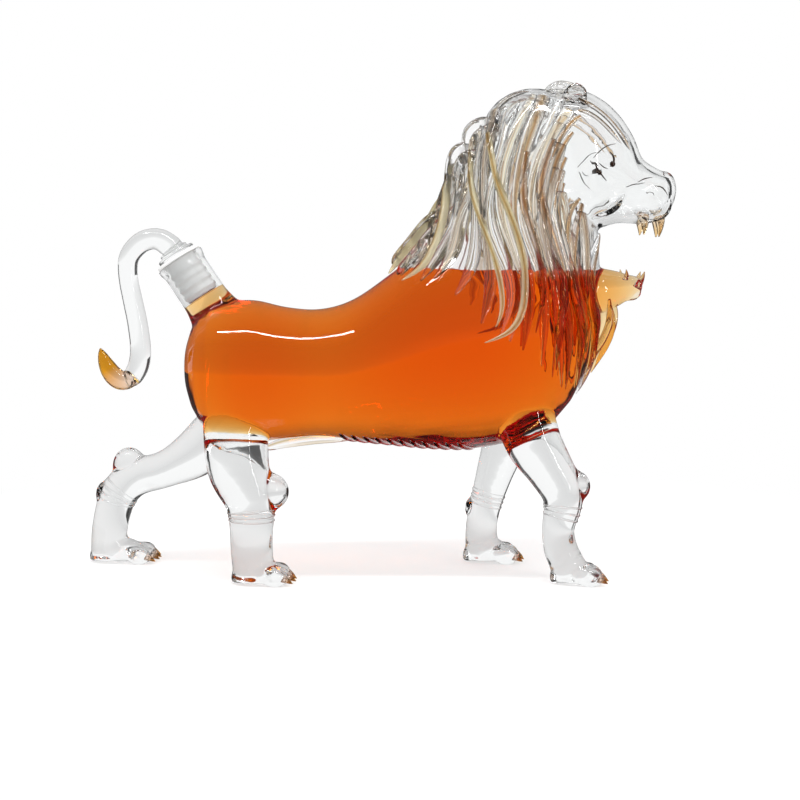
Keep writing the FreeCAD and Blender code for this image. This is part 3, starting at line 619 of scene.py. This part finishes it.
def above_weld(spot):
    (rear_x, rear_z), (front_x, front_z) = WELD
    level = rear_z + (spot.x / MM - rear_x) * (front_z - rear_z) / (front_x - rear_x)
    return spot.x > 0 and spot.z / MM > level


def wet(spot):
    return all((spot - place).dot(normal) < 0 for place, normal in LIQUOR_TOPS)


def kept(bm, test):
    # A copy with only the faces whose middles pass the test.
    part = bm.copy()
    drop = [face for face in part.faces if not test(face.calc_center_median())]
    bmesh.ops.delete(part, geom=drop, context="FACES")
    return part


def merged(first, second):
    mesh = bpy.data.meshes.new("work")
    second.to_mesh(mesh)
    first.from_mesh(mesh)
    return first


skin = skin_of(outside, False)
lining = skin_of(inside, True)
shape = BVHTree.FromBMesh(skin)
low_skin = kept(skin, lambda spot: spot.z > LEG_CUT * MM and not above_weld(spot))
low_lining = kept(lining, lambda spot: not above_weld(spot) and not wet(spot))
torso = merged(low_skin, low_lining)


def at_lip(edge):
    return all(abs((vert.co / MM - SPOUT_BASE).dot(SPOUT_UP) - SPOUT_TOP) < 0.02 for vert in edge.verts)


rim = bmesh.ops.bridge_loops(torso, edges=[edge for edge in torso.edges if edge.is_boundary and at_lip(edge)])
for face in rim["faces"]:
    face.normal_update()
    if face.normal.dot(SPOUT_UP) < 0:
        face.normal_flip()
piece("torso_glass", torso, clear_glass, "decanter", ["torso_shell", "bottle_neck"])
head = merged(kept(skin, above_weld), kept(lining, lambda spot: above_weld(spot) and not wet(spot)))
piece("head_glass", head, clear_glass, "decanter", ["head_shell", "right_ear", "left_ear"])
for name in LEGS:
    way = 1 if "fore" in name else -1
    side = PAWS[name][2]
    foot = kept(skin, lambda spot: spot.z <= LEG_CUT * MM and spot.x * way > 0 and spot.y * side > 0)
    piece(name + "_glass", foot, clear_glass, "decanter", [name + "_leg", name + "_paw"])

# Liquor: the wetted part of the lining, closed by its open surfaces.
fill = bmesh.new()
fill.from_mesh(inside)
for spot, normal in LIQUOR_TOPS:
    rim = trimmed(fill, spot, normal)
    top = bmesh.ops.edgeloop_fill(fill, edges=rim)
    for face in top["faces"]:
        face.material_index = 1
bmesh.ops.recalc_face_normals(fill, faces=fill.faces)
liquor = piece("liquor_fill", fill, wet_whisky, "decanter", ["liquor"])
liquor.data.materials.append(open_whisky)


def stained_mesh():
    bm = bmesh.new()
    bm.verts.layers.float_color.new("stain")
    return bm


def finished(name, bm, material, body, nodes, levels=0):
    # A piece whose faces are first turned outwards.
    bmesh.ops.recalc_face_normals(bm, faces=bm.faces)
    return piece(name, bm, material, body, nodes, levels)


def grooved(code, ridge="FFFFFF"):
    # A clear or pale ridge, stain in the grooves along both edges.
    tint = colour(code)
    pale = colour(ridge)
    return lambda share, number: pale if number % 4 else tint


def tipped(code):
    # Clear at the root, stained towards the tip.
    tint = colour(code)
    return lambda share, number: [1 + (c - 1) * min(1.0, 0.25 + share * 1.3) for c in tint]


# Stopper: silicone plug, glass stem with its collars, tail and amber leaf.
plug = bmesh.new()
loft(plug, on_spout(PLUG), 48, closed=True)
finished("plug", plug, silicone, "plug", ["stopper_plug"])
tail = bmesh.new()
rod = [(x, z, radius, radius) for x, z, radius in between(TAIL, 4)]
loft(tail, on_spout(STEM) + in_plane(rod), 32)
finished("tail_glass", tail, clear_glass, "tail", ["stopper_stem", "tail_rod"])
leaf = stained_mesh()
loft(leaf, in_plane(between(TAIL_LEAF, 4)), 14, 0.86, stain=tipped(LEAF_STAIN))
finished("tail_leaf", leaf, amber_glass, "tail", ["tail_tuft"], 1)


def seat(x, z, side):
    # Point and normal of the glass under a side-view spot; near the outline of the neck, seen from its axis.
    spot, normal = shape.ray_cast(point(x, side * 200, z), Vector((0, -side, 0)))[:2]
    on_neck = z > NECK_SEATS["above"] and x < NECK_SEATS["behind"]
    if on_neck and (spot is None or abs(normal.y) < 0.4):
        rear = shape.ray_cast(point(-300, 0, z), FORWARD)[0].x / MM
        middle = (rear + NECK_SEATS["front"]) / 2
        share = max(-1.0, min(1.0, (x - middle) / (NECK_SEATS["front"] - middle)))
        out = Vector((share, side * math.sqrt(max(0.0, 1 - share * share)), 0))
        spot, normal = shape.ray_cast(point(middle, 0, z) + out * 0.2, -out)[:2]
    return (spot, normal) if spot else seat(x, z - 1, side)


def eased(rows):
    # Each inner row averaged with its neighbours.
    inner = [[(a + 2 * b + c) / 4 for a, b, c in zip(*three)] for three in zip(rows, rows[1:], rows[2:])]
    return [rows[0]] + inner + [rows[-1]]


def strand(bm, seats, halves, thick, lift, groove=0.84, stain=None, segments=12):
    # A lock along its seats; half widths, half thickness and lift in mm.
    rows = eased(eased([(*spot, *normal, half) for (spot, normal), half in zip(seats, halves)]))
    rows = between(rows, 2)
    ovals = []
    for place, row in enumerate(rows):
        normal = Vector(row[3:6]).normalized()
        along = Vector(rows[min(place + 1, len(rows) - 1)][:3]) - Vector(rows[max(place - 1, 0)][:3])
        side = along.cross(normal).normalized()
        out = side.cross(along).normalized()
        share = place / (len(rows) - 1)
        high = thick * min(1.0, 0.12 + 3.0 * (1.0 - share)) * min(1.0, 0.2 + 4 * share)
        ovals.append((Vector(row[:3]) + out * lift * MM * (1 + share), side * row[6] * MM, out * high * MM))
    loft(bm, ovals, segments, groove, stain=stain)


def side_strand(bm, stops, side, thick, lift, groove=0.84, stain=None, segments=12):
    # The same from side-view stops: x, z, half width.
    rows = between(stops, 4)
    seats = [seat(x, z, side) for x, z, half in rows]
    strand(bm, seats, [row[2] for row in rows], thick, lift, groove, stain, segments)


def tapered(stops, half, root, tips):
    # Side-view stops with their half widths, narrower at the root and towards the tip.
    swells = [root] + [1.0] * (len(stops) - 1 - len(tips)) + list(tips)
    return [(x, z, half * swell) for (x, z), swell in zip(stops, swells)]


guides = between(MANE, 12)
total = STRANDS_PER_GROUP * len(MANE_GROUPS)
ways = []
for number in range(total):
    row = guides[round((number + 0.5) / total * (len(guides) - 1))]
    sways = [WAVE * math.sin(number * 2.1 + place * 2.2) for place in range(4)] + [0.0]
    ways.append([Vector((row[2 * place] + sway, row[2 * place + 1])) for place, sway in enumerate(sways)])
for side, side_name in ((-1, "right_"), (1, "left_")):
    for group, name in enumerate(MANE_GROUPS):
        bm = stained_mesh()
        for number in range(group * STRANDS_PER_GROUP, (group + 1) * STRANDS_PER_GROUP):
            other = ways[number + 1 if number + 1 < total else number - 1]
            stops = []
            for spot, beside, swell in zip(ways[number], other, LOCK_SWELLS):
                stops.append((*spot, max(LOCK_WAY[0], min(LOCK_WAY[1], (spot - beside).length)) * swell))
            stain = grooved(STAINS[number % len(STAINS)])
            side_strand(bm, stops, side, 2.3 + 0.7 * (number % 2), 0.3 + 0.7 * (number % 2), 0.76, stain, 8)
        under = len(bm.faces)
        for place, half, stops in OVER_LOCKS:
            if place == group:
                stops = tapered(stops, half, 0.7, (0.75, 0.12))
                side_strand(bm, stops, side, 2.4, 1.7, 0.8, grooved(*(GOLD_WITH_PAINTED_PALE_RIDGE if group < 2 else BROWN)), 8)
        # Rear over-locks take the partly opaque glass whose paleness is painted light.
        for face in bm.faces[under:]:
            face.material_index = 1 if group < 2 else 0
        # Painted light: front locks below the liquor line are tinted with the amber seen through them.
        shade = bm.verts.layers.float_color["stain"]
        for vert in bm.verts:
            if group > 1 and vert.co.z < (LIQUOR_LEVEL - 2) * MM:
                vert[shade] = [a * b for a, b in zip(vert[shade], colour(PAINTED_LIQUOR_LIGHT_TINT))]
        node = side_name + name
        locks = finished(node + "_locks", bm, mane_glass, "decanter", [node], 1)
        locks.data.materials.append(gold_and_painted_light_glass)

# Crest: tufts that lap like scales down the middle of the mane.
crest = stained_mesh()
for number, stops in enumerate(CREST_TUFTS):
    for place, (offset, drop, half) in enumerate(TUFT_STRANDS if number else TUFT_STRANDS[:3]):
        rows = []
        for (x, z), swell in zip(stops, TUFT_SWELLS):
            rows.append((x + drop * 0.5, z - drop, half * swell, TUFT_THICK * swell))
        ovals = [(spot + ACROSS * offset * MM, side, depth) for spot, side, depth in in_plane(between(rows, 4))]
        loft(crest, ovals, 8, 0.76, stain=grooved(STAINS[(number * 2 + place * 3) % len(STAINS)]))
finished("mane_crest_locks", crest, mane_glass, "decanter", ["mane_crest"], 1)

brow = stained_mesh()
for side in (-1, 1):
    for stops, half in FORELOCKS:
        side_strand(brow, tapered(stops, half, 0.8, (0.15,)), side, 1.1, 0.2, 0.85, grooved(FORELOCK_STAIN), 8)
finished("forelock_locks", brow, mane_glass, "decanter", ["forelock"], 1)

beard = stained_mesh()
for number, y in enumerate(BEARD_SIDES):
    seats = []
    for place, z in enumerate(BEARD_STOPS):
        drop = abs(y) * 0.5 * place / len(BEARD_STOPS)
        seats.append(shape.ray_cast(point(300, y * (1 - 0.08 * place), z + drop), -FORWARD)[:2])
    strand(beard, seats, BEARD_HALVES, 2.0, 0.6, 0.78, grooved(BEARD_STAINS[number % 2]), 8)
for number, y in enumerate(CHIN_SIDES):
    rows = [(x - abs(y) * 0.4, z - 3.0 * (number % 2), half, half) for x, z, half in CHIN_LOCK]
    ovals = [(spot + ACROSS * y * MM, side, depth) for spot, side, depth in in_plane(between(rows, 4))]
    loft(beard, ovals, 8, 0.78, stain=grooved(*CHIN_STAIN))
finished("beard_locks", beard, mane_glass, "decanter", ["beard"], 1)

# Eyes: dark pupil, lids and creases as fine threads.
for side, name in ((-1, "right_eye"), (1, "left_eye")):
    bm = bmesh.new()
    x, z, radius = PUPIL
    spot, normal = seat(x, z, side)
    ball(bm, tuple((spot - normal * 0.3 * MM) / MM), (radius, 0.9, radius), fine=3)
    for stops, half in EYE_LINES:
        side_strand(bm, tapered(stops, half, 0.4, (0.3,)), side, 0.4, 0.0, 1.0, segments=8)
    finished(name + "_lines", bm, eye_glass, "decanter", [name], 1)


def spike(bm, root, tip, radius, code, bend=0.0):
    # A pointed tooth or claw, bent forward a little and full towards its tip.
    start, end = point(*root), point(*tip)
    along = (end - start).normalized()
    side = along.cross(FORWARD if abs(along.x) < 0.8 else UP).normalized()
    ovals = []
    for share in (0.0, 0.2, 0.4, 0.6, 0.8, 0.94, 1.0):
        wide = radius * MM * max(0.12, (1 - share) ** 0.65)
        spot = start + (end - start) * share + FORWARD * bend * MM * share * (1 - share) * 4
        ovals.append((spot, side * wide, along.cross(side) * wide))
    loft(bm, ovals, 14, stain=tipped(code))


for name, table in (("upper_fangs", UPPER_FANGS), ("lower_fangs", LOWER_FANGS)):
    bm = stained_mesh()
    for root, tip, radius in table:
        for way in (1, -1):
            spike(bm, (root[0], root[1] * way, root[2]), (tip[0], tip[1] * way, tip[2]), radius, FANG_STAIN, 0.5)
    finished(name + "_glass", bm, amber_glass, "decanter", [name])
for name in PAWS:
    bm = stained_mesh()
    for x, y, z in toe_spots(name):
        front = x + TOE_HALF[0]
        root = (front - CLAW["root"], y, z + 0.2)
        tip = (front + CLAW["reach"], y, CLAW["tip"])
        spike(bm, root, tip, CLAW["radius"], CLAW_STAIN)
    finished(name + "_claw_tips", bm, amber_glass, "decanter", [name + "_claws"])

# Three fine weld rings round each shank, where the foot was joined.
rings = bmesh.new()
for name, rows in LEGS.items():
    rows = between(rows, 12)
    first = min(range(len(rows)), key=lambda place: abs(rows[place][2] - WELD_HEIGHTS[name]))
    for place in (first, first + 3, first + 6):
        spot = point(*rows[place][:3])
        along = (point(*rows[place + 1][:3]) - point(*rows[place - 1][:3])).normalized()
        deep = along.cross(ACROSS).normalized()
        broad = deep.cross(along).normalized()
        ovals = []
        for step in range(36):
            angle = 2 * math.pi * step / 36
            out = deep * rows[place][3] * math.cos(angle) + broad * rows[place][4] * math.sin(angle)
            ovals.append((spot + out * MM, along * WELD_RING * MM, out.normalized() * WELD_RING * MM))
        loft(rings, ovals, 6, closed=True)
finished("weld_rings", rings, clear_glass, "decanter", [])

# Belly: slanted strands on both sides of the keel, and the tuft that hangs behind them.
fringe = stained_mesh()
for side in (-1, 1):
    for number in range(FRINGE["count"]):
        start = FRINGE["rear"] + (FRINGE["front"] - FRINGE["rear"]) * number / (FRINGE["count"] - 1)
        seats = []
        for share in (0.0, 0.3, 0.6, 0.85, 1.0):
            y = FRINGE["near"] + (FRINGE["far"] - FRINGE["near"]) * share
            seats.append(shape.ray_cast(point(start - FRINGE["slant"] * share, side * y, -50), UP)[:2])
        strand(fringe, seats, FRINGE_HALVES, 1.3, 0.2, 0.9, grooved(FRINGE_STAIN), 8)
finished("belly_fringe_strands", fringe, mane_glass, "decanter", ["belly_fringe"], 1)
tuft = stained_mesh()
rows = []
for x, drop, half, thick in BELLY_TUFT:
    rows.append((x, shape.ray_cast(point(x, 0, -50), UP)[0].z / MM - drop, half, thick))
loft(tuft, in_plane(between(rows, 4)), 12, 0.86, stain=grooved(TUFT_STAIN))
finished("belly_tuft_glass", tuft, mane_glass, "decanter", ["belly_tuft"], 1)


# Floor, world and lights
def combine(tree, first, second, operation):
    node = add_node(tree, "ShaderNodeMath", operation=operation)
    for place, value in enumerate((first, second)):
        if isinstance(value, (int, float)):
            node.inputs[place].default_value = value
        else:
            tree.links.new(value, node.inputs[place])
    return node.outputs[0]


def floor():
    bm = bmesh.new()
    bmesh.ops.create_grid(bm, x_segments=1, y_segments=1, size=4.0)
    mesh = bpy.data.meshes.new("floor")
    bm.to_mesh(mesh)
    obj = bpy.data.objects.new("floor", mesh)
    SCENE.collection.objects.link(obj)
    material = bpy.data.materials.new("white paper sweep")
    material.use_nodes = True
    tree = material.node_tree
    tree.nodes.clear()
    place = add_node(tree, "ShaderNodeTexCoord")
    far = add_node(tree, "ShaderNodeVectorMath", [(0, place.outputs["Object"])], operation="LENGTH")
    reach = [("Value", far.outputs["Value"])]
    share = add_node(tree, "ShaderNodeMapRange", reach, From_Min=0.14, From_Max=0.30, To_Min=0.5, To_Max=1.0)
    seen = add_node(tree, "ShaderNodeLightPath")
    mirror = combine(tree, seen.outputs["Is Glossy Ray"], seen.outputs["Is Transmission Ray"], "SUBTRACT")
    dim = add_node(tree, "ShaderNodeMapRange", [("Value", mirror)], To_Min=1.0, To_Max=0.08)
    fade = add_node(tree, "ShaderNodeMapRange", reach, From_Min=0.2, From_Max=2.4, To_Min=0.74, To_Max=1.0)
    through = seen.outputs["Is Transmission Ray"]
    soft = add_node(tree, "ShaderNodeMapRange", [("Value", through), ("To Max", fade.outputs[0])], To_Min=1.0)
    bright = combine(tree, dim.outputs[0], soft.outputs[0], "MULTIPLY")
    paper = add_node(tree, "ShaderNodeBsdfDiffuse", [("Color", bright)])
    glow = add_node(tree, "ShaderNodeEmission", [("Strength", bright)], Color=colour("FFFFFF"))
    mix = add_node(tree, "ShaderNodeMixShader", [(0, share.outputs[0]), (1, paper.outputs[0]), (2, glow.outputs[0])])
    add_node(tree, "ShaderNodeOutputMaterial", [("Surface", mix.outputs[0])])
    mesh.materials.append(material)


floor()
world = bpy.data.worlds.new("studio")
SCENE.world = world
world.use_nodes = True
tree = world.node_tree
tree.nodes.clear()
way = add_node(tree, "ShaderNodeTexCoord")
split = add_node(tree, "ShaderNodeSeparateXYZ", [("Vector", way.outputs["Generated"])])
wide = combine(tree, split.outputs["X"], 0, "ABSOLUTE")
deep = combine(tree, split.outputs["Y"], 0, "ABSOLUTE")
turn = combine(tree, deep, wide, "ARCTAN2")
off = combine(tree, combine(tree, turn, math.radians(32), "SUBTRACT"), 0, "ABSOLUTE")
# Dark cards stand on both sides, before and behind, and the roof is dimmer than the walls.
card = add_node(
    tree, "ShaderNodeMapRange", [("Value", off)], interpolation_type="SMOOTHSTEP",
    From_Min=math.radians(12), From_Max=math.radians(19), To_Min=0.02, To_Max=1.0)
roof = add_node(
    tree, "ShaderNodeMapRange", [("Value", split.outputs["Z"])], interpolation_type="SMOOTHSTEP",
    From_Min=0.4, From_Max=0.8, To_Min=1.0, To_Max=0.6)
seen = add_node(tree, "ShaderNodeLightPath")
around = combine(tree, card.outputs[0], roof.outputs[0], "MULTIPLY")
through = combine(tree, around, seen.outputs["Is Transmission Ray"], "MULTIPLY")
mirror = combine(tree, seen.outputs["Is Glossy Ray"], seen.outputs["Is Transmission Ray"], "SUBTRACT")
mirror = combine(tree, mirror, 0.14, "MULTIPLY")
lit = combine(tree, seen.outputs["Diffuse Depth"], 1.0, "MINIMUM")
plain = combine(tree, seen.outputs["Is Camera Ray"], lit, "MAXIMUM")
level = combine(tree, combine(tree, through, mirror, "MAXIMUM"), plain, "MAXIMUM")
back = add_node(tree, "ShaderNodeBackground", [("Strength", level)], Color=colour("FFFFFF"))
add_node(tree, "ShaderNodeOutputWorld", [("Surface", back.outputs[0])])


def softbox(name, spot, target, size, power):
    light = bpy.data.lights.new(name, "AREA")
    light.shape = "RECTANGLE"
    light.size, light.size_y = size
    light.energy = power
    obj = bpy.data.objects.new(name, light)
    SCENE.collection.objects.link(obj)
    obj.location = spot
    obj.rotation_euler = (Vector(target) - Vector(spot)).to_track_quat("-Z", "Y").to_euler()


softbox("top strip", (0.0, -0.25, 0.9), (0, 0, 0.1), (1.0, 0.06), 5.0)
softbox("right strip", (0.62, -0.62, 0.32), (0, 0, 0.1), (0.03, 0.5), 1.0)

camera = bpy.data.cameras.new("camera")
camera.sensor_width = 36.0
camera.lens = 59.5
eye = bpy.data.objects.new("camera", camera)
SCENE.collection.objects.link(eye)
eye.location = (0.0114, -0.560, 0.129)
eye.rotation_euler = (math.radians(90 - 5.6), 0, 0)
SCENE.camera = eye
SCENE.view_settings.view_transform = "Standard"
SCENE.cycles.max_bounces = 40
SCENE.cycles.transmission_bounces = 40
SCENE.cycles.glossy_bounces = 8
SCENE.cycles.transparent_max_bounces = 16
